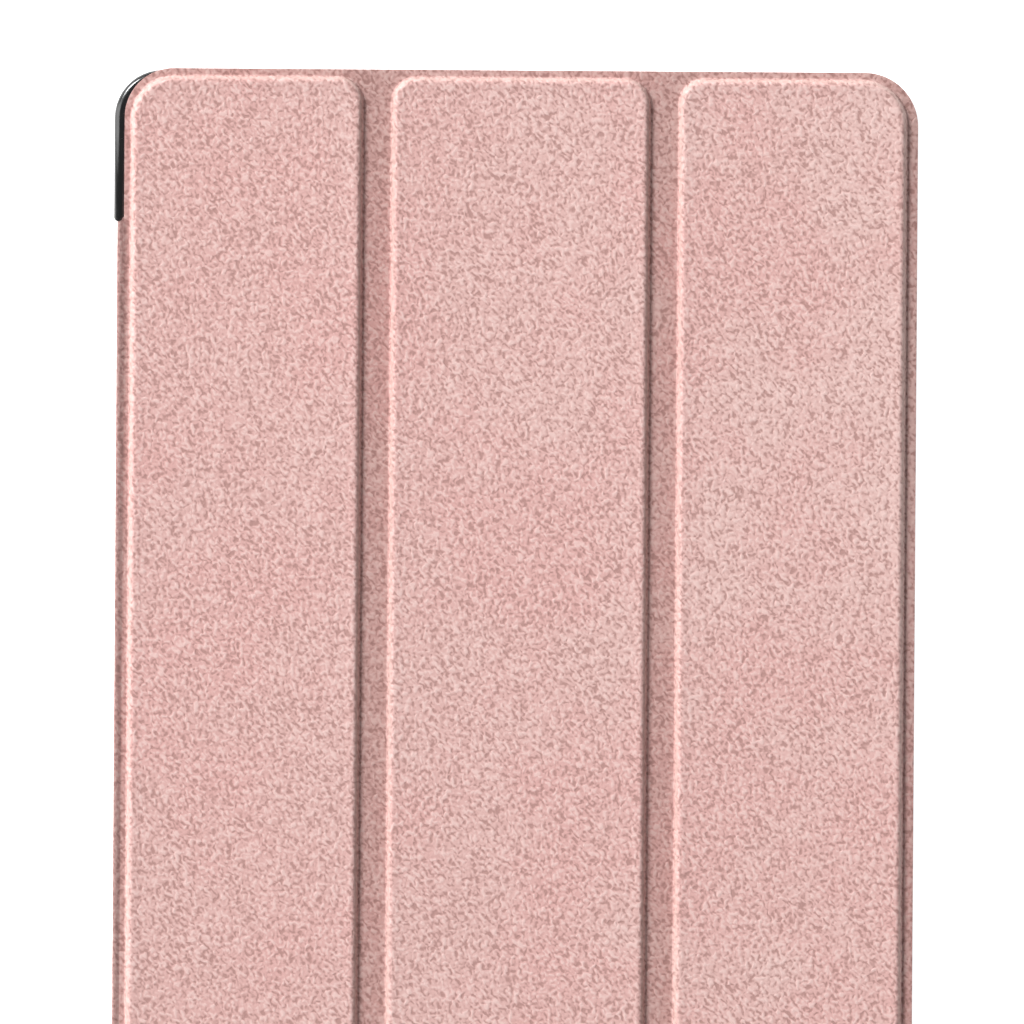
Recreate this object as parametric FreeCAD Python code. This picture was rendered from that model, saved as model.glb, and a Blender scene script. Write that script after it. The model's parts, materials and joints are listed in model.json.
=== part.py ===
"""Tri-fold case for a 10.4 inch tablet: a hard tray, and a folding leather cover that hangs on a soft spine.

Millimetres. The case lies closed on its back: +X runs from the spine to the cover's free edge, +Y along the
spine, and +Z up through the thickness. The origin is the centre of the closed case's footprint, on the
surface that it lies on. Everything but the openings for the tablet's ports is symmetric about y = 0.
"""

import FreeCAD, Part

import math
import os

# ---- the tablet that the case is made for ----
TABLET_WIDTH = 157.4
TABLET_LENGTH = 247.6
TABLET_THICKNESS = 7.0
TABLET_CORNER = 7.7
FIT_GAP = 0.2  # round the tablet's edge

# ---- hard tray ----
WALL = 1.8
FLOOR = 1.2
LIP_REACH = 0.9  # how far the lip comes in over the tablet's face
LIP_THICKNESS = 0.9
LIP_CLEARANCE = 0.1  # between the tablet's face and the lip
RIM_LIFT = 0.15  # the tray's rim stays this far above the table, so the leather carries the case
BACK_ROUND = 2.4  # outer edge of the tray's back
TOP_ROUND = 1.2  # outer edge of the tray's rim

# ---- sheet materials ----
LEATHER = 0.7
LINING = 0.4
ADHESIVE = 0.1
STAY = 0.25  # stiffener in the spine
SPINE_LEATHER = 0.6
BOARD = 1.1
FOAM = 0.4

# ---- folding cover ----
PANEL_WIDTHS = (47.1, 52.5, 46.7)  # foot to foot, from the spine to the free edge
GROOVE = 5.4  # flexible strip between two panels
SPINE_MARGIN = 2.4  # from the spine's outer face to the first panel
FREE_BORDER = 1.8  # flat border along the free edge
END_BORDER = 1.15  # flat border along the cover's two ends
COVER_OVERHANG_X = 0.6  # cover past the tray, at the free edge
COVER_OVERHANG_Y = 0.3  # cover past the tray, at each end
COVER_CLEARANCE = 0.1  # between the tray's lip and the closed cover
COVER_FREE_CORNER = 10.8
COVER_SPINE_CORNER = 9.0
PANEL_OUTER_CORNERS = (8.0, None, 9.2)  # spine side of the first panel, free side of the last one
PANEL_GROOVE_CORNER = 4.4
BOARD_INSET = 1.2  # board's edge inside the panel's foot
FOAM_INSET = 2.0
FOLD_STRIP = 4.6  # width of the flexible strip that turns on a fold's axis
FOLD_RELIEF = 2.5  # a panel's sheets stop this far from a fold's axis
HINGE_RELIEF = 0.8  # laminate and tray stop this far from a spine hinge's axis

# ---- spine ----
SPINE_STEP = 0.7  # the spine's outer face is this far inside the tray's corner walls
CORNER_WALL_RUN = 30.9  # the tray's bare corners, measured from the cover's end
SPINE_END_GAP = 0.2
SPINE_THICKNESS = SPINE_LEATHER + STAY + LINING

# ---- leather on the tray's back ----
BACK_LEATHER_INSET = 3.2  # inside the tray's outer edge
BACK_LEATHER_CORNER = 7.0

# ---- magnets: length along Y, width along X, thickness along Z ----
MAGNET = (12.0, 4.0, 1.0)
MAGNET_Y = (-85.0, -35.0, 35.0, 85.0)
MAGNET_EDGE = 1.6  # from the board's edge to the magnet
WAKE_MAGNET_RADIUS = 4.0
WAKE_MAGNET_INSET = (18.0, 22.0)  # from the last board's free edge and from its end
POCKET_GAP = 0.1

# ---- openings in the tray: place along the wall, width and height ----
PORT_SLOT = (0.0, 14.0, 5.6)
JACK_SLOT = (-38.0, 9.5, 6.0)
KEY_SLOT = (74.0, 52.0, 5.2)
SPEAKER_SLOT = (16.0, 3.0)
SPEAKER_X = 52.0  # either side of the middle of each end wall
CAMERA_CENTRE = (60.0, 104.0)
CAMERA_WINDOW = 17.0
CAMERA_WINDOW_CORNER = 5.0
CAMERA_LEATHER_MARGIN = 1.6  # ring of bare tray round the window

# ---- heights ----
BACK_LEATHER_TOP = LEATHER
TRAY_FLOOR_BOTTOM = BACK_LEATHER_TOP + ADHESIVE
BAY_FLOOR = TRAY_FLOOR_BOTTOM + FLOOR
BAY_TOP = BAY_FLOOR + TABLET_THICKNESS + LIP_CLEARANCE
TRAY_TOP = BAY_TOP + LIP_THICKNESS
LINING_BOTTOM = TRAY_TOP + COVER_CLEARANCE
LINING_TOP = LINING_BOTTOM + LINING
BORDER_TOP = LINING_TOP + LEATHER
BOARD_TOP = LINING_TOP + BOARD
FOAM_TOP = BOARD_TOP + FOAM
PANEL_TOP = FOAM_TOP + LEATHER
FOLD_AXIS_Z = (LINING_BOTTOM + BORDER_TOP) / 2
REAR_AXIS_Z = SPINE_THICKNESS / 2 + 0.025
PORT_Z = BAY_FLOOR + TABLET_THICKNESS / 2

# ---- places along X ----
TRAY_WIDTH = TABLET_WIDTH + 2 * (FIT_GAP + WALL)
TRAY_LENGTH = TABLET_LENGTH + 2 * (FIT_GAP + WALL)
TRAY_LEFT = -(TRAY_WIDTH + COVER_OVERHANG_X) / 2
TRAY_RIGHT = TRAY_LEFT + TRAY_WIDTH
COVER_RIGHT = TRAY_RIGHT + COVER_OVERHANG_X
SPINE_LEFT = TRAY_LEFT + SPINE_STEP
SPINE_AXIS_X = SPINE_LEFT + SPINE_THICKNESS / 2
COVER_LEFT = SPINE_AXIS_X + HINGE_RELIEF

# ---- half lengths along Y ----
TRAY_HALF = TRAY_LENGTH / 2
COVER_HALF = TRAY_HALF + COVER_OVERHANG_Y
WALL_TIP = COVER_HALF - CORNER_WALL_RUN
SPINE_HALF = WALL_TIP - SPINE_END_GAP
PANEL_HALF = COVER_HALF - END_BORDER

UP = FreeCAD.Vector(0, 0, 1)
ALONG_SPINE = FreeCAD.Vector(0, 1, 0)


def outline(x_left, x_right, half_length, r_left, r_right, z, y_middle=0.0):
    """Closed wire at height z: a rectangle whose left and right corners have their own radii."""
    corners = (
        (x_right - r_right, half_length - r_right, r_right, 0),
        (x_left + r_left, half_length - r_left, r_left, 90),
        (x_left + r_left, r_left - half_length, r_left, 180),
        (x_right - r_right, r_right - half_length, r_right, 270),
    )
    arcs = []
    for x, y, radius, start in corners:
        circle = Part.Circle(FreeCAD.Vector(x, y + y_middle, z), UP, radius)
        arcs.append(Part.Arc(circle, math.radians(start), math.radians(start + 90)).toShape())
    edges = []
    for arc, following in zip(arcs, arcs[1:] + arcs[:1]):
        side = Part.makeLine(arc.Vertexes[-1].Point, following.Vertexes[0].Point)
        edges.extend((arc, side))
    return Part.Wire(edges)


def plate(x_left, x_right, half_length, r_left, r_right, z_bottom, z_top, y_middle=0.0):
    """Flat sheet with rounded corners."""
    edge = outline(x_left, x_right, half_length, r_left, r_right, z_bottom, y_middle)
    return Part.Face(edge).extrude(UP * (z_top - z_bottom))


def block(x_left, x_right, y_low, y_high, z_bottom, z_top):
    size = (x_right - x_left, y_high - y_low, z_top - z_bottom)
    return Part.makeBox(*size, FreeCAD.Vector(x_left, y_low, z_bottom))


def bar(radius, x, z, half_length):
    """Round bar along Y."""
    return Part.makeCylinder(radius, 2 * half_length, FreeCAD.Vector(x, -half_length, z), ALONG_SPINE)


def level_edges(shape, z):
    """The edges of a shape that lie flat at height z."""
    flat = lambda edge: abs(edge.BoundBox.ZMin - z) < 1e-6 and abs(edge.BoundBox.ZMax - z) < 1e-6
    return [edge for edge in shape.Edges if flat(edge)]


def wall_slot(place, width, height, through_y):
    """Round-ended slot cutter, centred at x = place, that runs through an end wall at y = through_y."""
    depth = 4 * WALL
    radius = height / 2
    straight = width / 2 - radius
    cutter = block(place - straight, place + straight, 0, depth, PORT_Z - radius, PORT_Z + radius)
    for x in (place - straight, place + straight):
        end = Part.makeCylinder(radius, depth, FreeCAD.Vector(x, 0, PORT_Z), ALONG_SPINE)
        cutter = cutter.fuse(end)
    cutter.translate(FreeCAD.Vector(0, through_y - depth / 2, 0))
    return cutter


def camera_hole(margin, z_bottom, z_top):
    """Cutter for the camera window, larger all round by margin."""
    x, y = CAMERA_CENTRE
    half = CAMERA_WINDOW / 2 + margin
    corner = CAMERA_WINDOW_CORNER + margin
    return plate(x - half, x + half, half, corner, corner, z_bottom, z_top, y_middle=y)


def back_sheet(z_bottom, z_top, gap=0.0):
    """Sheet on the tray's back: inset from the rim, with a tongue that runs out to the spine."""
    inset = BACK_LEATHER_INSET - gap
    left = TRAY_LEFT + inset
    right = TRAY_RIGHT - inset
    corner = BACK_LEATHER_CORNER + gap
    sheet = plate(left, right, TRAY_HALF - inset, corner, corner, z_bottom, z_top)
    tongue = block(COVER_LEFT, left + corner, -SPINE_HALF, SPINE_HALF, z_bottom, z_top)
    return sheet.fuse(tongue).removeSplitter()


def spine_gap():
    """What is cut from the tray beside the spine, leaving the corner walls with round tips."""
    tip_radius = WALL / 2
    tip_y = WALL_TIP + tip_radius
    gap = block(TRAY_LEFT - 1, COVER_LEFT, -tip_y, tip_y, -1, TRAY_TOP + 1)
    lip_edge = TRAY_LEFT + WALL + FIT_GAP + LIP_REACH + 1
    gap = gap.fuse(block(TRAY_LEFT - 1, lip_edge, -tip_y, tip_y, BAY_TOP - 0.01, TRAY_TOP + 1))
    for y in (-tip_y, tip_y):
        tip_centre = FreeCAD.Vector(TRAY_LEFT + tip_radius, y, -2)
        gap = gap.cut(Part.makeCylinder(tip_radius, TRAY_TOP + 4, tip_centre, UP))
    return gap


def back_shell():
    """Hard tray: floor, walls with a lip over the tablet, bare corner walls beside the spine."""
    bay_corner = TABLET_CORNER + FIT_GAP
    outer_corner = bay_corner + WALL
    lip_corner = bay_corner - LIP_REACH
    tray = plate(TRAY_LEFT, TRAY_RIGHT, TRAY_HALF, outer_corner, outer_corner, RIM_LIFT, TRAY_TOP)
    tray = tray.makeFillet(BACK_ROUND, level_edges(tray, RIM_LIFT))
    tray = tray.makeFillet(TOP_ROUND, level_edges(tray, TRAY_TOP))
    bay_edges = (TRAY_LEFT + WALL, TRAY_RIGHT - WALL, TRAY_HALF - WALL)
    mouth_inset = WALL + FIT_GAP + LIP_REACH
    mouth_edges = (TRAY_LEFT + mouth_inset, TRAY_RIGHT - mouth_inset, TRAY_HALF - mouth_inset)
    tray = tray.cut(plate(*bay_edges, bay_corner, bay_corner, BAY_FLOOR, BAY_TOP))
    tray = tray.cut(plate(*mouth_edges, lip_corner, lip_corner, BAY_TOP - 1, TRAY_TOP + 1))
    tray = tray.cut(back_sheet(-1, TRAY_FLOOR_BOTTOM, gap=0.1))
    tray = tray.cut(spine_gap())
    tray = tray.cut(camera_hole(0.0, -1, BAY_FLOOR + 1))
    end_wall = TRAY_HALF - WALL / 2
    tray = tray.cut(wall_slot(*PORT_SLOT, -end_wall))
    tray = tray.cut(wall_slot(*JACK_SLOT, end_wall))
    for y in (-end_wall, end_wall):
        for x in (-SPEAKER_X, SPEAKER_X):
            tray = tray.cut(wall_slot(x, *SPEAKER_SLOT, y))
    key_slot = wall_slot(*KEY_SLOT, 0)
    key_slot.rotate(FreeCAD.Vector(0, 0, 0), UP, 90)
    key_slot.translate(FreeCAD.Vector(TRAY_RIGHT - WALL / 2, 0, 0))
    return tray.cut(key_slot)


def camera_bezel():
    """Ring of the tray that comes down through the leather round the camera window."""
    ring = camera_hole(CAMERA_LEATHER_MARGIN - 0.2, RIM_LIFT, TRAY_FLOOR_BOTTOM)
    return ring.cut(camera_hole(0.0, -1, BAY_FLOOR))


def rear_sheets():
    """Leather on the tray's back, and the adhesive film that holds it."""
    hole = camera_hole(CAMERA_LEATHER_MARGIN, -1, BAY_FLOOR)
    yield "rear_leather", back_sheet(0, BACK_LEATHER_TOP).cut(hole)
    yield "rear_adhesive_film", back_sheet(BACK_LEATHER_TOP, TRAY_FLOOR_BOTTOM).cut(hole)


def spine():
    """Soft spine: leather with a rolled edge on each hinge axis, a stay, and the lining inside."""
    left = SPINE_LEFT
    stay_left = left + SPINE_LEATHER
    lining_left = stay_left + STAY
    lining_right = lining_left + LINING
    leather = block(left, stay_left, -SPINE_HALF, SPINE_HALF, REAR_AXIS_Z, FOLD_AXIS_Z)
    roll = SPINE_THICKNESS / 2
    for z in (REAR_AXIS_Z, FOLD_AXIS_Z):
        leather = leather.fuse(bar(roll, SPINE_AXIS_X, z, SPINE_HALF))
    low = REAR_AXIS_Z + roll + 0.05
    high = FOLD_AXIS_Z - roll - 0.05
    yield "spine_leather", leather.removeSplitter()
    yield "spine_stay", block(stay_left, lining_left, -SPINE_HALF + 2, SPINE_HALF - 2, low, high)
    yield "spine_lining", block(lining_left, lining_right, -SPINE_HALF, SPINE_HALF, low, high)


def panel_feet():
    """Where each panel's raised part starts and stops along X."""
    x = SPINE_LEFT + SPINE_MARGIN
    for width in PANEL_WIDTHS:
        yield x, x + width
        x += width + GROOVE


def fold_axes():
    """Middle of each groove along X."""
    feet = list(panel_feet())
    return [(before[1] + after[0]) / 2 for before, after in zip(feet, feet[1:])]


def magnet_blocks(x, gap=0.0):
    """Row of flat bar magnets, centred at x, larger by gap on each side."""
    length, width, thickness = MAGNET
    top = LINING_TOP + thickness + gap
    bars = []
    for y in MAGNET_Y:
        sides = (x - width / 2 - gap, x + width / 2 + gap, y - length / 2 - gap, y + length / 2 + gap)
        bars.append(block(*sides, LINING_TOP, top))
    return Part.makeCompound(bars)


def wake_magnet(x, y, gap=0.0):
    radius = WAKE_MAGNET_RADIUS + gap
    return Part.makeCylinder(radius, MAGNET[2] + gap, FreeCAD.Vector(x, y, LINING_TOP), UP)


def panel(number):
    """One cover panel: leather skin, foam, board and lining, with its magnets."""
    feet = list(panel_feet())
    folds = fold_axes()
    foot_left, foot_right = feet[number - 1]
    is_first = number == 1
    is_last = number == len(feet)
    sheet_left = COVER_LEFT if is_first else folds[number - 2] + FOLD_RELIEF
    sheet_right = COVER_RIGHT if is_last else folds[number - 1] - FOLD_RELIEF
    square = 0.3  # a cut corner beside a fold
    r_left = COVER_SPINE_CORNER if is_first else square
    r_right = COVER_FREE_CORNER if is_last else square
    outer = PANEL_OUTER_CORNERS[number - 1] or PANEL_GROOVE_CORNER
    foot_r_left = outer if is_first else PANEL_GROOVE_CORNER
    foot_r_right = outer if is_last else PANEL_GROOVE_CORNER

    def inset(amount, z):
        """The raised part's outline, drawn in by amount."""
        sides = (foot_left + amount, foot_right - amount, PANEL_HALF - amount)
        return outline(*sides, foot_r_left - amount, foot_r_right - amount, z)

    def inner_sheet(amount, z_bottom, z_top):
        return Part.Face(inset(amount, z_bottom)).extrude(UP * (z_top - z_bottom))

    board = inner_sheet(BOARD_INSET, LINING_TOP, BOARD_TOP)
    foam = inner_sheet(FOAM_INSET, BOARD_TOP, FOAM_TOP)
    border = plate(sheet_left, sheet_right, COVER_HALF, r_left, r_right, LINING_TOP, BORDER_TOP)
    slope = PANEL_TOP - BORDER_TOP
    raised = Part.makeLoft([inset(0, BORDER_TOP), inset(slope, PANEL_TOP)], True, True)
    skin = border.fuse(raised).removeSplitter().cut(board).cut(foam)
    yield f"panel_{number}_leather", skin
    yield f"panel_{number}_foam", foam
    yield f"panel_{number}_lining", plate(
        sheet_left, sheet_right, COVER_HALF, r_left, r_right, LINING_BOTTOM, LINING_TOP
    )

    from_edge = BOARD_INSET + MAGNET_EDGE + MAGNET[1] / 2
    if is_first:
        x = foot_left + from_edge
        board = board.cut(magnet_blocks(x, POCKET_GAP))
        yield "stand_magnets", magnet_blocks(x)
    if is_last:
        x = foot_right - from_edge
        board = board.cut(magnet_blocks(x, POCKET_GAP))
        yield "closure_magnets", magnet_blocks(x)
        wake_x = foot_right - BOARD_INSET - WAKE_MAGNET_INSET[0]
        wake_y = PANEL_HALF - BOARD_INSET - WAKE_MAGNET_INSET[1]
        board = board.cut(wake_magnet(wake_x, wake_y, POCKET_GAP))
        yield "wake_magnet", wake_magnet(wake_x, wake_y)
    yield f"panel_{number}_board", board


def fold_crease(number):
    """The flexible strip of one groove, centred on the fold's axis: leather above and lining below."""
    x = fold_axes()[number - 1]
    sides = (x - FOLD_STRIP / 2, x + FOLD_STRIP / 2, -COVER_HALF, COVER_HALF)
    yield f"fold_{number}_leather", block(*sides, LINING_TOP, BORDER_TOP)
    yield f"fold_{number}_lining", block(*sides, LINING_BOTTOM, LINING_TOP)


def case():
    """Every piece of the case, as (name, shape)."""
    yield "back_shell", back_shell().fuse(camera_bezel()).removeSplitter()
    yield from rear_sheets()
    yield from spine()
    for number in range(1, len(PANEL_WIDTHS) + 1):
        yield from panel(number)
    for number in range(1, len(PANEL_WIDTHS)):
        yield from fold_crease(number)


os.makedirs("parts", exist_ok=True)
for name, shape in case():
    bounds = shape.BoundBox
    if not shape.isValid():
        raise ValueError(f"{name} is not a valid shape")
    shape.exportStep(f"parts/{name}.step")
    print(
        f"{name:20s} {len(shape.Solids)} solid(s), {shape.Volume:9.1f} mm3,"
        f" x {bounds.XMin:7.2f} {bounds.XMax:7.2f}, z {bounds.ZMin:6.2f} {bounds.ZMax:6.2f}"
    )
print("spine axes: x", SPINE_AXIS_X, "z", REAR_AXIS_Z, FOLD_AXIS_Z)
print("fold axes: x", fold_axes())
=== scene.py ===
"""Looks of the tri-fold tablet case: its leather cover, spine and back, its lining, and its black tray.

The leather and the lining are each made as one sheet, and then parted where the case bends. The sizes
of the case are written in millimetres, times MM, so everything is built in metres.
"""

import json
import math

import bmesh
import bpy
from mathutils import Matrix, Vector


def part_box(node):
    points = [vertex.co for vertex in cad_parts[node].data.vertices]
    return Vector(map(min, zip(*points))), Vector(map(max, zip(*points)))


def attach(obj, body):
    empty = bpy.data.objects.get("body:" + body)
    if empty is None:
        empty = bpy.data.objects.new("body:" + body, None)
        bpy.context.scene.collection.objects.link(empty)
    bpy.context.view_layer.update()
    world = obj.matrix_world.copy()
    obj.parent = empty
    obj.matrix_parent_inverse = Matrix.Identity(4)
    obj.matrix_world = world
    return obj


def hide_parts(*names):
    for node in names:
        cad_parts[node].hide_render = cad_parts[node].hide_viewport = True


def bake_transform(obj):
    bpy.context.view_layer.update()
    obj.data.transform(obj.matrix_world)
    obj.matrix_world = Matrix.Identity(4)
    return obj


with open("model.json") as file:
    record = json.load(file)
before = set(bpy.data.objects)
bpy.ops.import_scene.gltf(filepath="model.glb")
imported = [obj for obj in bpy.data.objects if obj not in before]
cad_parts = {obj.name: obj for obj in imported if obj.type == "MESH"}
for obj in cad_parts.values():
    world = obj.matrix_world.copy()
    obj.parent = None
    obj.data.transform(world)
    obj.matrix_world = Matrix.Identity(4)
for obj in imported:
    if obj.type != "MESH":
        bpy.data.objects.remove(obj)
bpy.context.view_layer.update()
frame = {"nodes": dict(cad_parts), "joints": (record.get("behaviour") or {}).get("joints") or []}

MM = 0.001
NEAR = 0.01 * MM  # two places closer than this are the same
SMOOTH_UP_TO = 50  # degrees; an edge between faces is shown sharp past this

# ---- cover leather ----
LEFT_MARGIN = 1.2 * MM  # from the left edge of a panel's board out to the foot of its raised part
RIGHT_MARGIN = 1.45 * MM
FREE_MARGIN = 1.12 * MM  # beside the cover's free edge
END_MARGIN = 1.2 * MM
COVER_LEATHER = 0.6 * MM
BORDER_RISE = 0.7 * MM  # from the lining's top to the top of the flat border
SPINE_LEATHER = 0.6 * MM
PANEL_CORNER_SEGMENTS = 14
COVER_CORNER_SEGMENTS = 24
FREE_CORNER = 10.8 * MM
SPINE_CORNER = 9.9 * MM
PANEL_GROOVE_CORNER = 5.4 * MM
PANEL_FIRST_CORNER = 9.3 * MM
PANEL_LAST_CORNER = 9.2 * MM
RIM_ROUNDING = 0.2 * MM

# ---- shape of a panel's padded edge, in section ----
FOOT_FILLET = 0.3 * MM
FOOT_SLOPE = math.radians(73)
SHOULDER_START = math.radians(25)
FILLET_STEPS = 3
SHOULDER_STEPS = 9
WELT_STEPS = 5
WELT_WIDTH = 2.0 * MM  # the panel dips this far inside its edge
WELT_DIP = 0.08 * MM
PAINTED_SHADE_REACH = 0.5 * MM  # the flat border and grooves get painted shade, which fades out this far in from a panel's foot
PALE_START = 0.25 * MM  # from the foot in to where the leather starts to turn pale, for paler stretched leather and a painted highlight
PALE_RISE = 0.45 * MM
PALE_STOP = 0.75 * MM  # and to where it starts to fade back
PALE_FADE = 0.45 * MM

# ---- folds and spine ----
FOLD_REACH = 2.3 * MM  # the flexible strip on each side of a fold's axis
FOLD_CUTS = 16
SPINE_ROUND = 1.2 * MM  # outer rounding of the spine's two long edges
SPINE_END_FADE = 0.4 * MM
TIP_RADIUS = 0.9 * MM  # round ends of the tray's corner walls, beside the spine's ends
TIP_GAP = 0.08 * MM
EDGE_SHADE_AT_SEAM = 0.75  # how dark the painted shade on the spine's rounded edge still is where the cover starts
EDGE_SHADE_REACH = 1.6 * MM  # the painted shade fades out this far down the spine
ROUND_STEPS = 12
SPINE_STEPS = 8
LINING_STEPS = 4

# ---- lining ----
LINING_THICKNESS = 0.38 * MM
LINING_SETBACK = 0.12 * MM  # the lining's edge inside the leather's edge
LINING_RELIEF = 0.12 * MM  # how far the lining sinks in between the panels
LINING_SLOPE = 0.5 * MM
LINING_TURN = 0.15 * MM  # inner radius where the lining turns onto the spine

# ---- tray and its back ----
TRAY_EDGE = 0.14 * MM
TRAY_SMOOTH_UP_TO = 38
FLAT_ANGLE = math.radians(0.6)  # faces that meet at less than this are joined into one
SHARP_ANGLE = math.radians(50)  # edges past this are rounded
WELD = 0.001 * MM


# =============================================================== frame measures

def joint_place(name):
    return Vector(next(joint["pos_m"] for joint in frame["joints"] if joint["name"] == name))


PANELS = (1, 2, 3)
FOLDS = [joint_place(f"fold_{number}_peel") for number in (1, 2)]
FRONT_HINGE = joint_place("front_hinge")
REAR_HINGE = joint_place("rear_hinge")
COVER_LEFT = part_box("panel_1_leather")[0].x
COVER_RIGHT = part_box("panel_3_leather")[1].x
COVER_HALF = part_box("panel_2_leather")[1].y
LINING_BOTTOM, LINING_TOP = (corner.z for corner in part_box("panel_1_lining"))
PANEL_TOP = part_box("panel_1_leather")[1].z
BORDER_TOP = LINING_TOP + BORDER_RISE
PANEL_RISE = PANEL_TOP - BORDER_TOP
SPINE_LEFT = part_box("spine_leather")[0].x
SPINE_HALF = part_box("spine_leather")[1].y
SPINE_MIDDLE = (FRONT_HINGE.z + REAR_HINGE.z) / 2
SPINE_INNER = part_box("spine_lining")[1].x
WALL_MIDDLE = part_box("back_shell")[0].x + TIP_RADIUS


def panel_feet(number):
    """Where a panel's raised part starts and stops: (left, right, half its length)."""
    low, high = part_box(f"panel_{number}_board")
    right_margin = FREE_MARGIN if number == PANELS[-1] else RIGHT_MARGIN
    return low.x - LEFT_MARGIN, high.x + right_margin, high.y + END_MARGIN


def panel_corners(number):
    """A panel's corner radii on its left and on its right."""
    left = PANEL_FIRST_CORNER if number == PANELS[0] else PANEL_GROOVE_CORNER
    right = PANEL_LAST_CORNER if number == PANELS[-1] else PANEL_GROOVE_CORNER
    return left, right


# =============================================================== mesh helpers

def rounded_face(bm, x_low, x_high, y_half, radii, z, segments):
    """One flat face that looks up, with the given corner radii on its left and right."""
    left, right = radii
    made = [
        bm.verts.new((x_low, -y_half, z)),
        bm.verts.new((x_high, -y_half, z)),
        bm.verts.new((x_high, y_half, z)),
        bm.verts.new((x_low, y_half, z)),
    ]
    old = set(bm.faces)
    bm.faces.new(made)
    for corner, radius in zip(made, (left, right, right, left)):
        bmesh.ops.bevel(
            bm, geom=[corner], offset=radius, offset_type="OFFSET", affect="VERTICES",
            segments=segments, profile=0.5, material=-1, clamp_overlap=False,
        )
    return next(face for face in bm.faces if face not in old)


def step_inwards(bm, face, inwards, upwards):
    bmesh.ops.inset_region(
        bm, faces=[face], thickness=inwards, depth=upwards, use_even_offset=True, use_boundary=True
    )


def cut_across(bm, x, keep=None):
    """Cut a mesh by the plane at x. keep says which side stays: 'left', 'right' or both."""
    bmesh.ops.bisect_plane(
        bm, geom=bm.verts[:] + bm.edges[:] + bm.faces[:], dist=1e-7,
        plane_co=(x, 0, 0), plane_no=(1, 0, 0),
        clear_outer=keep == "left", clear_inner=keep == "right",
    )


def cut_along(bm, y):
    bmesh.ops.bisect_plane(
        bm, geom=bm.verts[:] + bm.edges[:] + bm.faces[:], dist=1e-7,
        plane_co=(0, y, 0), plane_no=(0, 1, 0),
    )


def strip_between(sheet, x_low, x_high, cuts=0):
    """The part of a closed sheet between two planes, closed again, with more cuts across it."""
    bm = sheet.copy()
    if x_low is not None:
        cut_across(bm, x_low, keep="right")
    if x_high is not None:
        cut_across(bm, x_high, keep="left")
    for step in range(1, cuts):
        cut_across(bm, x_low + (x_high - x_low) * step / cuts)
    open_edges = [edge for edge in bm.edges if edge.is_boundary]
    bmesh.ops.holes_fill(bm, edges=open_edges, sides=0)
    return bm


def finish_mesh(bm, name, material, smooth_up_to=SMOOTH_UP_TO):
    """Turn a bmesh into an object, smooth but for its sharp edges."""
    mesh = bpy.data.meshes.new(name)
    for face in bm.faces:
        face.smooth = True
    bm.to_mesh(mesh)
    bm.free()
    mesh.set_sharp_from_angle(angle=math.radians(smooth_up_to))
    place = mesh.attributes.new("place_mm", "FLOAT_VECTOR", "POINT")
    place.data.foreach_set("vector", [part / MM for vert in mesh.vertices for part in vert.co])
    mesh.materials.append(material)
    made = bpy.data.objects.new(name, mesh)
    bpy.context.scene.collection.objects.link(made)
    return made


# =============================================================== shader helpers

def join(tree, socket, value):
    if isinstance(value, bpy.types.NodeSocket):
        tree.links.new(value, socket)
    else:
        socket.default_value = value


def add_node(tree, kind, inputs=(), **settings):
    made = tree.nodes.new(kind)
    for name, value in settings.items():
        setattr(made, name, value)
    for socket, value in dict(inputs).items():
        join(tree, made.inputs[socket], value)
    return made


def calc(tree, operation, a, b):
    return add_node(tree, "ShaderNodeMath", {0: a, 1: b}, operation=operation).outputs[0]


def scaled(tree, vector, factor):
    made = add_node(tree, "ShaderNodeVectorMath", {0: vector, "Scale": factor}, operation="SCALE")
    return made.outputs[0]


def added(tree, a, b):
    return add_node(tree, "ShaderNodeVectorMath", {0: a, 1: b}, operation="ADD").outputs[0]


def mixed(tree, factor, a, b, way="MIX"):
    """Mix two colours."""
    made = add_node(tree, "ShaderNodeMix", data_type="RGBA", blend_type=way)
    join(tree, made.inputs["Factor"], factor)
    join(tree, made.inputs[6], a)
    join(tree, made.inputs[7], b)
    return made.outputs[2]


def remap(tree, value, low, high, to_low=0.0, to_high=1.0):
    """Spread value from low..high to to_low..to_high, smoothly and within those limits."""
    sockets = {"Value": value, "From Min": low, "From Max": high, "To Min": to_low, "To Max": to_high}
    return add_node(tree, "ShaderNodeMapRange", sockets, interpolation_type="SMOOTHSTEP").outputs[0]


def noise(tree, vector, scale, detail=2.0, roughness=0.5, distortion=0.0):
    sockets = {"Vector": vector, "Scale": scale, "Detail": detail, "Roughness": roughness,
               "Distortion": distortion}
    return add_node(tree, "ShaderNodeTexNoise", sockets)


def turned(tree, vector, degrees, stretch):
    """Turn a pattern about Z, and stretch it along its own axes."""
    sockets = {"Vector": vector, "Rotation": (0, 0, math.radians(degrees)), "Scale": stretch}
    return add_node(tree, "ShaderNodeMapping", sockets, vector_type="TEXTURE").outputs[0]


def new_group(name, inputs, outputs):
    """An empty node group, with its input and output nodes."""
    tree = bpy.data.node_groups.new(name, "ShaderNodeTree")
    for label, kind, value in inputs:
        socket = tree.interface.new_socket(label, in_out="INPUT", socket_type=f"NodeSocket{kind}")
        if value is not None:
            socket.default_value = value
    for label, kind in outputs:
        tree.interface.new_socket(label, in_out="OUTPUT", socket_type=f"NodeSocket{kind}")
    return tree, tree.nodes.new("NodeGroupInput"), tree.nodes.new("NodeGroupOutput")


def effect(tree, group, inputs):
    """Use a shared effect in a material, with these inputs."""
    made = tree.nodes.new("ShaderNodeGroup")
    made.node_tree = group
    for name, value in inputs.items():
        join(tree, made.inputs[name], value)
    return made


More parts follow.
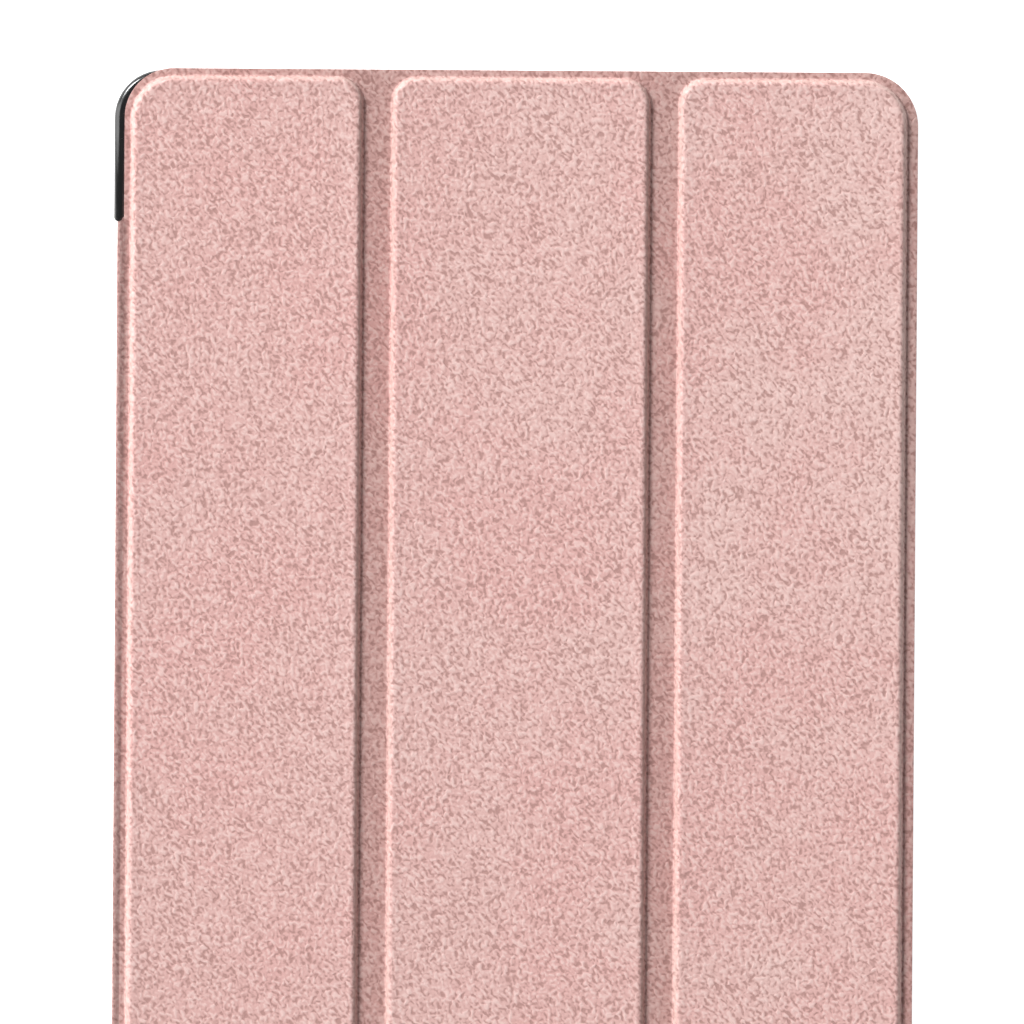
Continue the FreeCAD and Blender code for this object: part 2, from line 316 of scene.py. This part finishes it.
def new_material(name, metallic=0.0, specular=0.5):
    """A material with a Principled shader: (material, its tree, the shader)."""
    material = bpy.data.materials.new(name)
    material.use_nodes = True
    tree = material.node_tree
    shader = tree.nodes["Principled BSDF"]
    shader.inputs["Metallic"].default_value = metallic
    shader.inputs["Specular IOR Level"].default_value = specular
    return material, tree, shader


def bumped(tree, height, distance, strength=1.0):
    sockets = {"Height": height, "Distance": distance, "Strength": strength}
    return add_node(tree, "ShaderNodeBump", sockets).outputs[0]


# =============================================================== shared effects

def crinkled_grain_group():
    """Crinkled grain from a place in millimetres: its height, hollows, tops and broad patches."""
    tree, given, result = new_group(
        "crinkled_grain",
        [("Place", "Vector", None), ("Size", "Float", 1.0), ("Streaks", "Float", 0.5)],
        [("Height", "Float"), ("Hollows", "Float"), ("Tops", "Float"), ("Patches", "Float")],
    )
    size = calc(tree, "DIVIDE", 1.0, given.outputs["Size"])
    place = scaled(tree, given.outputs["Place"], size)
    drift = added(tree, noise(tree, place, 0.6, 1.0).outputs["Color"], (-0.5, -0.5, -0.5))
    wandering = added(tree, place, scaled(tree, drift, 1.2))
    pebbles = noise(tree, wandering, 1.15, 0.0, 0.4, 0.25).outputs["Fac"]
    slanted = turned(tree, wandering, -48, (1.6, 0.62, 1.0))
    streaks = noise(tree, slanted, 0.9, 0.0, 0.4, 0.2).outputs["Fac"]
    other_way = turned(tree, wandering, -72, (1.4, 0.7, 1.0))
    cross_streaks = noise(tree, other_way, 0.9, 0.4, 0.4, 0.2).outputs["Fac"]
    patches = noise(tree, place, 0.07, 2.0, 0.6).outputs["Fac"]
    where = remap(tree, patches, 0.42, 0.6)
    slant = calc(tree, "ADD", calc(tree, "MULTIPLY", cross_streaks, where),
                 calc(tree, "MULTIPLY", streaks, calc(tree, "SUBTRACT", 1.0, where)))
    share = given.outputs["Streaks"]
    height = calc(tree, "ADD", calc(tree, "MULTIPLY", slant, share),
                  calc(tree, "MULTIPLY", pebbles, calc(tree, "SUBTRACT", 1.0, share)))
    fine = noise(tree, place, 2.6, 2.0, 0.6).outputs["Fac"]
    fine_share = calc(tree, "MULTIPLY", calc(tree, "SUBTRACT", fine, 0.5), 0.03)
    height = calc(tree, "ADD", height, fine_share)
    join(tree, result.inputs["Height"], height)
    join(tree, result.inputs["Hollows"], remap(tree, height, 0.5, 0.35))
    join(tree, result.inputs["Tops"], remap(tree, height, 0.5, 0.65))
    join(tree, result.inputs["Patches"], patches)
    return tree


def scuff_group():
    """Smears and fine scratches from a place in millimetres, each from 0 to 1."""
    tree, given, result = new_group(
        "scuffs",
        [("Place", "Vector", None), ("Length", "Float", 1.0)],
        [("Smears", "Float"), ("Scratches", "Float")],
    )
    place = scaled(tree, given.outputs["Place"], calc(tree, "DIVIDE", 1.0, given.outputs["Length"]))
    smears = noise(tree, place, 0.08, 4.0, 0.6, 0.6).outputs["Fac"]
    lines = noise(tree, turned(tree, place, 27, (11.0, 0.31, 1.0)), 1.3, 3.0, 0.7).outputs["Fac"]
    other_way = turned(tree, place, -41, (14.0, 0.36, 1.0))
    crossing = noise(tree, other_way, 1.1, 3.0, 0.7).outputs["Fac"]
    join(tree, result.inputs["Smears"], remap(tree, smears, 0.35, 0.7))
    both = calc(tree, "MAXIMUM", lines, crossing)
    join(tree, result.inputs["Scratches"], remap(tree, both, 0.62, 0.74))
    return tree


def nap_group():
    """Short brushed fibres from a place in millimetres: their height, and the brushed patches."""
    tree, given, result = new_group(
        "brushed_nap",
        [("Place", "Vector", None), ("Fibre", "Float", 0.3)],
        [("Height", "Float"), ("Brushed", "Float")],
    )
    place = scaled(tree, given.outputs["Place"], calc(tree, "DIVIDE", 1.0, given.outputs["Fibre"]))
    along = noise(tree, turned(tree, place, 8, (3.3, 1.0, 1.0)), 0.9, 2.0, 0.6, 0.8).outputs["Fac"]
    across = noise(tree, turned(tree, place, 74, (2.9, 1.0, 1.0)), 0.8, 2.0, 0.6, 0.8).outputs["Fac"]
    brushed = noise(tree, turned(tree, given.outputs["Place"], 15, (5.0, 2.0, 1.0)), 0.12, 3.0, 0.55)
    join(tree, result.inputs["Height"], calc(tree, "MAXIMUM", along, across))
    join(tree, result.inputs["Brushed"], remap(tree, brushed.outputs["Fac"], 0.35, 0.65))
    return tree


GRAIN = crinkled_grain_group()
SCUFFS = scuff_group()
NAP = nap_group()


# =============================================================== materials

ROSE = (0.715, 0.44, 0.41, 1)
ROSE_PAINTED_LIGHT = (0.765, 0.508, 0.472, 1)
ROSE_PINK = (0.73, 0.41, 0.385, 1)
ROSE_TOP_HIGHLIGHT = (0.88, 0.64, 0.6, 1)
ROSE_PALE_HIGHLIGHT = (0.62, 0.46, 0.405, 1)
ROSE_HOLLOW_SHADE = (0.43, 0.235, 0.212, 1)
PAINTED_SHADE_TINT = (0.73, 0.685, 0.675, 1)
EDGE_SHADE_TINT = (0.27, 0.23, 0.22, 1)


def leather_material():
    """Rose-gold leather: crinkled grain with painted shade in its hollows and a painted highlight on
    its tops, pinker patches, painted light that makes it paler towards the right, paler stretched
    leather and a painted highlight over each shoulder, and painted shade on the border, the grooves and
    the spine's rounded edges.
    """
    material, tree, shader = new_material("rose_gold_leather", specular=0.3)
    place = add_node(tree, "ShaderNodeAttribute", attribute_name="place_mm").outputs["Vector"]
    stretch_and_highlight = add_node(tree, "ShaderNodeAttribute", attribute_name="stretch_and_highlight").outputs["Fac"]
    painted_shade = add_node(tree, "ShaderNodeAttribute", attribute_name="painted_shade").outputs["Fac"]
    edge_shade = add_node(tree, "ShaderNodeAttribute", attribute_name="edge_shade").outputs["Fac"]
    grain = effect(tree, GRAIN, {"Place": place, "Size": 0.82, "Streaks": 0.5})
    blotches = noise(tree, place, 0.035, 3.0, 0.6).outputs["Fac"]
    across = add_node(tree, "ShaderNodeSeparateXYZ", {0: place}).outputs["X"]
    # painted light: the leather is made paler towards the right
    colour = mixed(tree, remap(tree, across, -60.0, 90.0), ROSE, ROSE_PAINTED_LIGHT)
    colour = mixed(tree, remap(tree, blotches, 0.38, 0.66, 0.0, 0.75), colour, ROSE_PINK)
    # paler stretched leather and a painted highlight over each panel's shoulder
    colour = mixed(tree, calc(tree, "MULTIPLY", stretch_and_highlight, 0.6), colour, ROSE_PALE_HIGHLIGHT)
    calm = remap(tree, stretch_and_highlight, 0.0, 1.0, 1.0, 0.4)
    # painted shade in the grain's hollows
    hollow = calc(tree, "MULTIPLY", grain.outputs["Hollows"], calc(tree, "MULTIPLY", calm, 0.78))
    colour = mixed(tree, hollow, colour, ROSE_HOLLOW_SHADE)
    # painted highlight on the grain's tops
    top = calc(tree, "MULTIPLY", grain.outputs["Tops"], calc(tree, "MULTIPLY", calm, 0.66))
    colour = mixed(tree, top, colour, ROSE_TOP_HIGHLIGHT)
    # painted shade: the flat border, the groove floors and each panel's foot are darkened towards this
    # tint
    colour = mixed(tree, painted_shade, colour, PAINTED_SHADE_TINT, way="MULTIPLY")
    # painted shade darkens the leather where it rounds over the spine's long edges
    colour = mixed(tree, edge_shade, colour, EDGE_SHADE_TINT, way="MULTIPLY")
    join(tree, shader.inputs["Base Color"], colour)
    rough = remap(tree, grain.outputs["Height"], 0.35, 0.65, 0.68, 0.52)
    join(tree, shader.inputs["Roughness"], rough)
    join(tree, shader.inputs["Normal"], bumped(tree, grain.outputs["Height"], 0.00022, 0.8))
    return material


def tray_material():
    """Polished black plastic with fine scratches and finger smears."""
    material, tree, shader = new_material("black_polished_plastic", specular=0.8)
    place = scaled(tree, add_node(tree, "ShaderNodeTexCoord").outputs["Object"], 1 / MM)
    scuffs = effect(tree, SCUFFS, {"Place": place, "Length": 1.0})
    colour = mixed(tree, scuffs.outputs["Scratches"], (0.006, 0.006, 0.0065, 1),
                   (0.012, 0.012, 0.013, 1))
    rough = calc(tree, "ADD", remap(tree, scuffs.outputs["Smears"], 0.0, 1.0, 0.16, 0.26),
                 calc(tree, "MULTIPLY", scuffs.outputs["Scratches"], 0.08))
    ripple = noise(tree, place, 0.22, 1.0).outputs["Fac"]
    join(tree, shader.inputs["Base Color"], colour)
    join(tree, shader.inputs["Roughness"], rough)
    join(tree, shader.inputs["Normal"], bumped(tree, ripple, 0.00002, 0.5))
    return material


def lining_material():
    """Brushed warm-grey microfibre."""
    material, tree, shader = new_material("grey_microfibre", specular=0.15)
    place = add_node(tree, "ShaderNodeAttribute", attribute_name="place_mm").outputs["Vector"]
    nap = effect(tree, NAP, {"Place": place, "Fibre": 0.32})
    colour = mixed(tree, nap.outputs["Brushed"], (0.19, 0.172, 0.168, 1), (0.255, 0.232, 0.227, 1))
    colour = mixed(tree, remap(tree, nap.outputs["Height"], 0.45, 0.7, 0.5, 0.0), colour,
                   (0.13, 0.118, 0.115, 1))
    shader.inputs["Sheen Weight"].default_value = 0.35
    shader.inputs["Sheen Roughness"].default_value = 0.45
    join(tree, shader.inputs["Base Color"], colour)
    join(tree, shader.inputs["Roughness"], remap(tree, nap.outputs["Brushed"], 0.0, 1.0, 0.95, 0.82))
    join(tree, shader.inputs["Normal"], bumped(tree, nap.outputs["Height"], 0.00012, 0.7))
    return material


def fibrous_material(name, dark, light, fibre, roughness):
    """Board, foam and other fibrous or porous sheet."""
    material, tree, shader = new_material(name, specular=0.2)
    place = scaled(tree, add_node(tree, "ShaderNodeTexCoord").outputs["Object"], 1 / MM)
    nap = effect(tree, NAP, {"Place": place, "Fibre": fibre})
    flecks = noise(tree, place, 1.7, 3.0, 0.7).outputs["Fac"]
    colour = mixed(tree, nap.outputs["Brushed"], dark, light)
    colour = mixed(tree, remap(tree, flecks, 0.6, 0.72, 0.0, 0.5), colour, dark)
    join(tree, shader.inputs["Base Color"], colour)
    join(tree, shader.inputs["Roughness"], remap(tree, flecks, 0.3, 0.7, roughness - 0.08, roughness))
    join(tree, shader.inputs["Normal"], bumped(tree, nap.outputs["Height"], 0.00008, 0.6))
    return material


def film_material(name, dark, light, roughness):
    """Smooth plastic film or sheet with faint smears."""
    material, tree, shader = new_material(name, specular=0.45)
    place = scaled(tree, add_node(tree, "ShaderNodeTexCoord").outputs["Object"], 1 / MM)
    scuffs = effect(tree, SCUFFS, {"Place": place, "Length": 0.7})
    colour = mixed(tree, scuffs.outputs["Smears"], dark, light)
    join(tree, shader.inputs["Base Color"], colour)
    join(tree, shader.inputs["Roughness"],
         remap(tree, scuffs.outputs["Smears"], 0.0, 1.0, roughness, roughness + 0.15))
    join(tree, shader.inputs["Normal"], bumped(tree, scuffs.outputs["Scratches"], 0.00001, 0.5))
    return material


def magnet_material():
    """Bright nickel plate, lightly scratched."""
    material, tree, shader = new_material("nickel_plate", metallic=1.0)
    place = scaled(tree, add_node(tree, "ShaderNodeTexCoord").outputs["Object"], 1 / MM)
    scuffs = effect(tree, SCUFFS, {"Place": place, "Length": 0.35})
    colour = mixed(tree, scuffs.outputs["Smears"], (0.63, 0.62, 0.6, 1), (0.5, 0.49, 0.47, 1))
    rough = calc(tree, "ADD", remap(tree, scuffs.outputs["Smears"], 0.0, 1.0, 0.2, 0.38),
                 calc(tree, "MULTIPLY", scuffs.outputs["Scratches"], 0.2))
    join(tree, shader.inputs["Base Color"], colour)
    join(tree, shader.inputs["Roughness"], rough)
    join(tree, shader.inputs["Normal"], bumped(tree, scuffs.outputs["Scratches"], 0.00001, 0.5))
    return material


LEATHER = leather_material()
TRAY_PLASTIC = tray_material()
LINING = lining_material()
BOARD = fibrous_material("grey_board", (0.26, 0.24, 0.21, 1), (0.4, 0.37, 0.32, 1), 0.5, 0.9)
FOAM = fibrous_material("thin_foam", (0.7, 0.69, 0.66, 1), (0.84, 0.83, 0.8, 1), 0.25, 0.95)
STAY = film_material("polyester_stay", (0.72, 0.72, 0.7, 1), (0.8, 0.8, 0.79, 1), 0.35)
ADHESIVE = film_material("adhesive_film", (0.68, 0.66, 0.6, 1), (0.77, 0.75, 0.7, 1), 0.25)
NICKEL = magnet_material()


# =============================================================== cover leather

def padded_edge():
    """Section of a panel's padded edge, from its foot: steps of (inwards, upwards)."""
    points = [(0.0, 0.0)]
    for step in range(1, FILLET_STEPS + 1):
        angle = FOOT_SLOPE * step / FILLET_STEPS
        points.append((FOOT_FILLET * math.sin(angle), FOOT_FILLET * (1 - math.cos(angle))))
    foot_in, foot_up = points[-1]
    high = (PANEL_RISE - foot_up) / (1 - math.sin(SHOULDER_START))
    wide = high / math.tan(SHOULDER_START) / math.tan(FOOT_SLOPE)
    for step in range(1, SHOULDER_STEPS + 1):
        angle = SHOULDER_START + (math.pi / 2 - SHOULDER_START) * step / SHOULDER_STEPS
        inwards = foot_in + wide * (math.cos(SHOULDER_START) - math.cos(angle))
        upwards = foot_up + high * (math.sin(angle) - math.sin(SHOULDER_START))
        points.append((inwards, upwards))
    crest = points[-1][0]
    for step in range(1, WELT_STEPS + 1):
        share = step / WELT_STEPS
        dip = WELT_DIP * (1 - math.cos(math.pi * share)) / 2
        points.append((crest + WELT_WIDTH * share, PANEL_RISE - dip))
    return points


def paleness(inwards):
    """How pale the shoulder is, 0 to 1, by the distance from the foot: paler stretched leather and a
    painted highlight.
    """
    rise = min(1.0, max(0.0, (inwards - PALE_START) / PALE_RISE))
    fall = min(1.0, max(0.0, (inwards - PALE_STOP) / PALE_FADE))
    return rise * (1 - fall)


def panelled_sheet(bm, setback, z, steps, mark=None):
    """A flat sheet of the cover's outline at height z, with its panels stepped up or down.

    steps are (inwards, upwards) from a panel's foot. mark gets each vertex and how far in it is.
    """
    border = rounded_face(bm, COVER_LEFT, COVER_RIGHT - setback, COVER_HALF - setback,
                          (SPINE_CORNER - setback, FREE_CORNER - setback), z, COVER_CORNER_SEGMENTS)
    rim = list(border.edges)
    bmesh.ops.delete(bm, geom=[border], context="FACES_ONLY")
    feet = []
    for number in PANELS:
        left, right, half_length = panel_feet(number)
        feet.append(rounded_face(bm, left, right, half_length, panel_corners(number), z,
                                 PANEL_CORNER_SEGMENTS))
    outlines = [edge for face in feet for edge in face.edges]
    bmesh.ops.triangle_fill(bm, edges=rim + outlines, use_beauty=True, normal=(0, 0, 1))
    if mark:
        for vert in bm.verts:
            mark(vert, 0.0)
    for face in feet:
        for (before, low), (inwards, high) in zip(steps, steps[1:]):
            step_inwards(bm, face, inwards - before, high - low)
            if mark:
                for vert in face.verts:
                    mark(vert, inwards)


def meets_spine(vert):
    """Whether a vertex lies where the cover carries on into the spine."""
    return vert.co.x < COVER_LEFT + NEAR and abs(vert.co.y) < SPINE_HALF + NEAR


def cover_sheet():
    """The cover's leather in one closed sheet: a flat border and grooves, and three raised panels."""
    bm = bmesh.new()
    stretch_and_highlight = bm.verts.layers.float.new("stretch_and_highlight")
    painted_shade = bm.verts.layers.float.new("painted_shade")
    edge_shade = bm.verts.layers.float.new("edge_shade")

    def mark(vert, inwards):
        vert[stretch_and_highlight] = paleness(inwards)
        # painted shade on the flat border and grooves, fading out up each panel's foot
        vert[painted_shade] = max(0.0, 1.0 - inwards / PAINTED_SHADE_REACH)

    panelled_sheet(bm, 0.0, BORDER_TOP, padded_edge(), mark)
    for y in (SPINE_HALF, SPINE_HALF + SPINE_END_FADE):
        cut_along(bm, y)
        cut_along(bm, -y)
    for vert in bm.verts:
        # painted shade where the cover meets the spine's rounded edge
        if meets_spine(vert):
            vert[edge_shade] = EDGE_SHADE_AT_SEAM
    rim_places = {(round(vert.co.x, 6), round(vert.co.y, 6))
                  for edge in bm.edges if edge.is_boundary for vert in edge.verts}
    bmesh.ops.solidify(bm, geom=bm.faces[:], thickness=COVER_LEATHER)
    bmesh.ops.recalc_face_normals(bm, faces=bm.faces[:])
    round_rim(bm, rim_places, RIM_ROUNDING)
    return bm


def round_rim(bm, rim_places, rounding):
    """Round a sheet's outer edges, but not where the spine carries on from them."""
    def is_rim(vert):
        return (round(vert.co.x, 6), round(vert.co.y, 6)) in rim_places

    chosen = [edge for edge in bm.edges
              if all(is_rim(vert) for vert in edge.verts)
              and abs(edge.verts[0].co.z - edge.verts[1].co.z) < 1e-6
              and not all(meets_spine(vert) for vert in edge.verts)
              and any(abs(face.normal.z) < 0.1 for face in edge.link_faces)]
    bmesh.ops.bevel(bm, geom=chosen, offset=rounding, offset_type="OFFSET", affect="EDGES",
                    segments=3, profile=0.5, material=-1, clamp_overlap=True)


def add_cover_leather():
    """Part the cover's leather at its folds: three padded panels, and two strips for each fold."""
    sheet = cover_sheet()
    starts = [None] + [fold.x + FOLD_REACH for fold in FOLDS]
    stops = [fold.x - FOLD_REACH for fold in FOLDS] + [None]
    strips = []
    for number, start, stop in zip(PANELS, starts, stops):
        skin = strip_between(sheet, start, stop)
        skin = finish_mesh(skin, f"panel_{number}_skin", LEATHER)
        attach(skin, f"panel_{number}")
        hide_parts(f"panel_{number}_leather")
    for number, fold in enumerate(FOLDS, start=1):
        near = strip_between(sheet, fold.x - FOLD_REACH, fold.x, FOLD_CUTS)
        far = strip_between(sheet, fold.x, fold.x + FOLD_REACH, FOLD_CUTS)
        near = finish_mesh(near, f"fold_{number}_skin_near", LEATHER)
        far = finish_mesh(far, f"fold_{number}_skin_far", LEATHER)
        bend_at_fold(near, far)
        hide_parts(f"fold_{number}_leather")
        strips.extend((near, far))
    sheet.free()
    return strips


def bend_at_fold(near, far):
    """Bake the two strips' places into their meshes."""
    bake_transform(near)
    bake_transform(far)


# =============================================================== spine

def spine_path(x_side, z_flat, radius):
    """Section, as (x, z): from the cover or back at z_flat, round the corner, to the spine's middle."""
    way = 1 if z_flat < SPINE_MIDDLE else -1
    centre_z = z_flat + way * radius
    path = [(COVER_LEFT, z_flat)]
    for step in range(ROUND_STEPS + 1):
        angle = math.pi / 2 * (1 + step / ROUND_STEPS)
        x = x_side + radius + radius * math.cos(angle)
        path.append((x, centre_z - way * radius * math.sin(angle)))
    for step in range(1, SPINE_STEPS + 1):
        path.append((x_side, centre_z + (SPINE_MIDDLE - centre_z) * step / SPINE_STEPS))
    return path


def tip_edge(x):
    """How far along Y the spine's leather runs at x: its ends follow the round tips of the tray."""
    across = min(abs(x - WALL_MIDDLE), TIP_RADIUS)
    return SPINE_HALF + TIP_GAP + TIP_RADIUS - math.sqrt(TIP_RADIUS ** 2 - across ** 2)


def spine_strip(x_side, z_flat, radius, thickness, follows_tips=False):
    """Half of the spine's leather or lining, as a closed mesh. A negative thickness goes outwards."""
    path = spine_path(x_side, z_flat, radius)
    bm = bmesh.new()
    verts = [bm.verts.new((x, -SPINE_HALF, z)) for x, z in path]
    edges = [bm.edges.new(pair) for pair in zip(verts, verts[1:])]
    swept = bmesh.ops.extrude_edge_only(bm, edges=edges)
    moved = [item for item in swept["geom"] if isinstance(item, bmesh.types.BMVert)]
    bmesh.ops.translate(bm, verts=moved, vec=(0, 2 * SPINE_HALF, 0))
    if follows_tips:
        for vert in bm.verts:
            vert.co.y = math.copysign(tip_edge(vert.co.x), vert.co.y)
    # painted shade on the spine's rounded edge, darkest round the corner and fading down the spine
    edge_shade = bm.verts.layers.float.new("edge_shade")
    for vert in bm.verts:
        depth = abs(vert.co.z - z_flat)
        start = min(1.0, (COVER_LEFT - vert.co.x) / radius)
        at_start = EDGE_SHADE_AT_SEAM + (1 - EDGE_SHADE_AT_SEAM) * start
        vert[edge_shade] = max(0.0, 1 - depth / EDGE_SHADE_REACH) * at_start
    is_front = z_flat > SPINE_MIDDLE
    bmesh.ops.solidify(bm, geom=bm.faces[:], thickness=thickness if is_front else -thickness)
    bmesh.ops.recalc_face_normals(bm, faces=bm.faces[:])
    return bm


def bend_at_hinges(front, rear):
    """Bake the places of the spine's two halves into their meshes.
    """
    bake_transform(front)
    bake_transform(rear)


def add_spine_leather():
    """The spine's leather, in two halves that meet on its middle line."""
    front = spine_strip(SPINE_LEFT, BORDER_TOP, SPINE_ROUND, SPINE_LEATHER, follows_tips=True)
    rear = spine_strip(SPINE_LEFT, 0.0, SPINE_ROUND, SPINE_LEATHER, follows_tips=True)
    front = finish_mesh(front, "spine_skin_front", LEATHER)
    rear = finish_mesh(rear, "spine_skin_rear", LEATHER)
    bend_at_hinges(front, rear)
    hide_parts("spine_leather")
    return [front, rear]


# =============================================================== lining

def lining_sheet():
    """The cover's lining in one closed sheet, sunk in along the border and between the panels."""
    bm = bmesh.new()
    steps = [(0.0, 0.0)]
    for step in range(1, LINING_STEPS + 1):
        share = step / LINING_STEPS
        drop = LINING_RELIEF * (1 - math.cos(math.pi * share)) / 2
        steps.append((LINING_SLOPE * share, -drop))
    panelled_sheet(bm, LINING_SETBACK, LINING_BOTTOM + LINING_RELIEF, steps)
    bmesh.ops.solidify(bm, geom=bm.faces[:], thickness=-LINING_THICKNESS)
    bmesh.ops.recalc_face_normals(bm, faces=bm.faces[:])
    return bm


def add_spine_lining():
    """The spine's lining, in two halves that meet on its middle line."""
    flat = LINING_BOTTOM + LINING_RELIEF
    front = spine_strip(SPINE_INNER, flat, LINING_TURN, -LINING_THICKNESS)
    rear = spine_strip(SPINE_INNER, 2 * SPINE_MIDDLE - flat, LINING_TURN, -LINING_THICKNESS)
    front = finish_mesh(front, "spine_lining_front", LINING)
    rear = finish_mesh(rear, "spine_lining_rear", LINING)
    bend_at_hinges(front, rear)
    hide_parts("spine_lining")
    return [front, rear]


def add_lining():
    """Part the cover's lining at its folds and make the spine's lining: a cloth for each panel and two
    strips for each fold.
    """
    sheet = lining_sheet()
    starts = [None] + [fold.x + FOLD_REACH for fold in FOLDS]
    stops = [fold.x - FOLD_REACH for fold in FOLDS] + [None]
    strips = {1: add_spine_lining(), 2: [], 3: []}
    for number, fold in enumerate(FOLDS, start=1):
        near = strip_between(sheet, fold.x - FOLD_REACH, fold.x, FOLD_CUTS)
        far = strip_between(sheet, fold.x, fold.x + FOLD_REACH, FOLD_CUTS)
        near = finish_mesh(near, f"fold_{number}_cloth_near", LINING)
        far = finish_mesh(far, f"fold_{number}_cloth_far", LINING)
        bend_at_fold(near, far)
        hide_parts(f"fold_{number}_lining")
        strips[number].append(near)
        strips[number + 1].append(far)
    for number, start, stop in zip(PANELS, starts, stops):
        cloth = strip_between(sheet, start, stop)
        cloth = finish_mesh(cloth, f"panel_{number}_cloth", LINING)
        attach(cloth, f"panel_{number}")
        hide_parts(f"panel_{number}_lining")
    sheet.free()


# =============================================================== tray and its leather

def copy_of(node):
    """A node's shape as a bmesh, with its flat faces whole again."""
    bm = bmesh.new()
    bm.from_mesh(frame["nodes"][node].data)
    bmesh.ops.remove_doubles(bm, verts=bm.verts[:], dist=WELD)
    bmesh.ops.dissolve_limit(bm, angle_limit=FLAT_ANGLE, verts=bm.verts[:], edges=bm.edges[:],
                             delimit=set())
    return bm


def add_tray():
    """The hard tray, with a small radius on each of its sharp edges."""
    bm = copy_of("back_shell")
    sharp = [edge for edge in bm.edges
             if edge.is_manifold and edge.calc_face_angle() > SHARP_ANGLE]
    bmesh.ops.bevel(bm, geom=sharp, offset=TRAY_EDGE, offset_type="OFFSET", affect="EDGES",
                    segments=2, profile=0.5, material=-1, clamp_overlap=True)
    tray = finish_mesh(bm, "tray", TRAY_PLASTIC, smooth_up_to=TRAY_SMOOTH_UP_TO)
    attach(tray, "shell")
    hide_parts("back_shell")


def add_rear_leather(strips):
    """The leather on the tray's back; the strips passed in are not used."""
    bm = copy_of("rear_leather")
    rim = [edge for edge in bm.edges
           if edge.is_manifold and edge.calc_face_angle() > SHARP_ANGLE
           and max(vert.co.z for vert in edge.verts) < RIM_ROUNDING
           and max(vert.co.x for vert in edge.verts) > COVER_LEFT + RIM_ROUNDING]
    bmesh.ops.bevel(bm, geom=rim, offset=RIM_ROUNDING, offset_type="OFFSET", affect="EDGES",
                    segments=3, profile=0.5, material=-1, clamp_overlap=True)
    skin = finish_mesh(bm, "rear_skin", LEATHER)
    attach(skin, "shell")
    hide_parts("rear_leather")


add_tray()
add_rear_leather(add_cover_leather() + add_spine_leather())
add_lining()


# =============================================================== CAD nodes that stay

def dress(node, material):
    mesh = frame["nodes"][node].data
    mesh.materials.clear()
    mesh.materials.append(material)


for node in frame["nodes"]:
    if node.endswith("_board"):
        dress(node, BOARD)
    elif node.endswith("_foam"):
        dress(node, FOAM)
    elif "magnet" in node:
        dress(node, NICKEL)
dress("spine_stay", STAY)
dress("rear_adhesive_film", ADHESIVE)


# =============================================================== floor, light and camera

VIEW_CENTRE = Vector((-0.3, 37.1, 11.5)) * MM
VIEW_WIDTH = 206.3 * MM
VIEW_DISTANCE = 2.2
VIEW_ROLL = math.radians(0.4)
SENSOR_WIDTH = 36
FAR_CLIP = 20
LIGHT_TARGET = Vector((0, 0.03, 0))  # the lights' places and sizes are in metres
KEY_PLACE = (-3.5, 3.5, 3.2)
KEY_SIZE = 2.2
KEY_POWER = 414
SIDE_PLACE = (-2.7, 0.5, 1.6)
SIDE_WIDTH = 1.3
SIDE_HEIGHT = 4.6
SIDE_POWER = 50
FILL_PLACE = (3.2, -1.5, 2.2)
FILL_SIZE = 3.0
FILL_POWER = 13
WORLD_STRENGTH = 0.185
FLOOR_HALF = 3.0
FLOOR_GAP = 0.05 * MM
FLOOR_GLOW = 0.92


def add_floor():
    bm = bmesh.new()
    bmesh.ops.create_grid(bm, x_segments=1, y_segments=1, size=FLOOR_HALF)
    bmesh.ops.translate(bm, verts=bm.verts[:], vec=(0, 0, -FLOOR_GAP))
    mesh = bpy.data.meshes.new("floor")
    bm.to_mesh(mesh)
    bm.free()
    floor = bpy.data.objects.new("floor", mesh)
    bpy.context.scene.collection.objects.link(floor)
    material, _, shader = new_material("white_floor", specular=0.1)
    shader.inputs["Base Color"].default_value = (0.93, 0.93, 0.93, 1)
    shader.inputs["Roughness"].default_value = 0.9
    shader.inputs["Emission Color"].default_value = (1, 1, 1, 1)
    shader.inputs["Emission Strength"].default_value = FLOOR_GLOW
    mesh.materials.append(material)


def add_area_light(name, place, width, height, power):
    """A flat oval light that faces the case."""
    data = bpy.data.lights.new(name, "AREA")
    data.shape = "ELLIPSE"
    data.size = width
    data.size_y = height
    data.energy = power
    light = bpy.data.objects.new(name, data)
    light.location = place
    light.rotation_euler = (LIGHT_TARGET - Vector(place)).to_track_quat("-Z", "Y").to_euler()
    bpy.context.scene.collection.objects.link(light)


def add_lights():
    add_area_light("key", KEY_PLACE, KEY_SIZE, KEY_SIZE, KEY_POWER)
    add_area_light("side", SIDE_PLACE, SIDE_WIDTH, SIDE_HEIGHT, SIDE_POWER)
    add_area_light("fill", FILL_PLACE, FILL_SIZE, FILL_SIZE, FILL_POWER)
    world = bpy.data.worlds.new("studio")
    world.use_nodes = True
    background = world.node_tree.nodes["Background"]
    background.inputs["Color"].default_value = (1, 1, 1, 1)
    background.inputs["Strength"].default_value = WORLD_STRENGTH
    bpy.context.scene.world = world


def add_camera():
    data = bpy.data.cameras.new("camera")
    data.sensor_width = SENSOR_WIDTH
    data.lens = SENSOR_WIDTH * VIEW_DISTANCE / VIEW_WIDTH
    data.clip_end = FAR_CLIP
    camera = bpy.data.objects.new("camera", data)
    camera.location = VIEW_CENTRE + Vector((0, 0, VIEW_DISTANCE))
    camera.rotation_euler = (0, 0, VIEW_ROLL)
    bpy.context.scene.collection.objects.link(camera)
    bpy.context.scene.camera = camera


add_floor()
add_lights()
add_camera()
bpy.context.scene.view_settings.view_transform = "Standard"
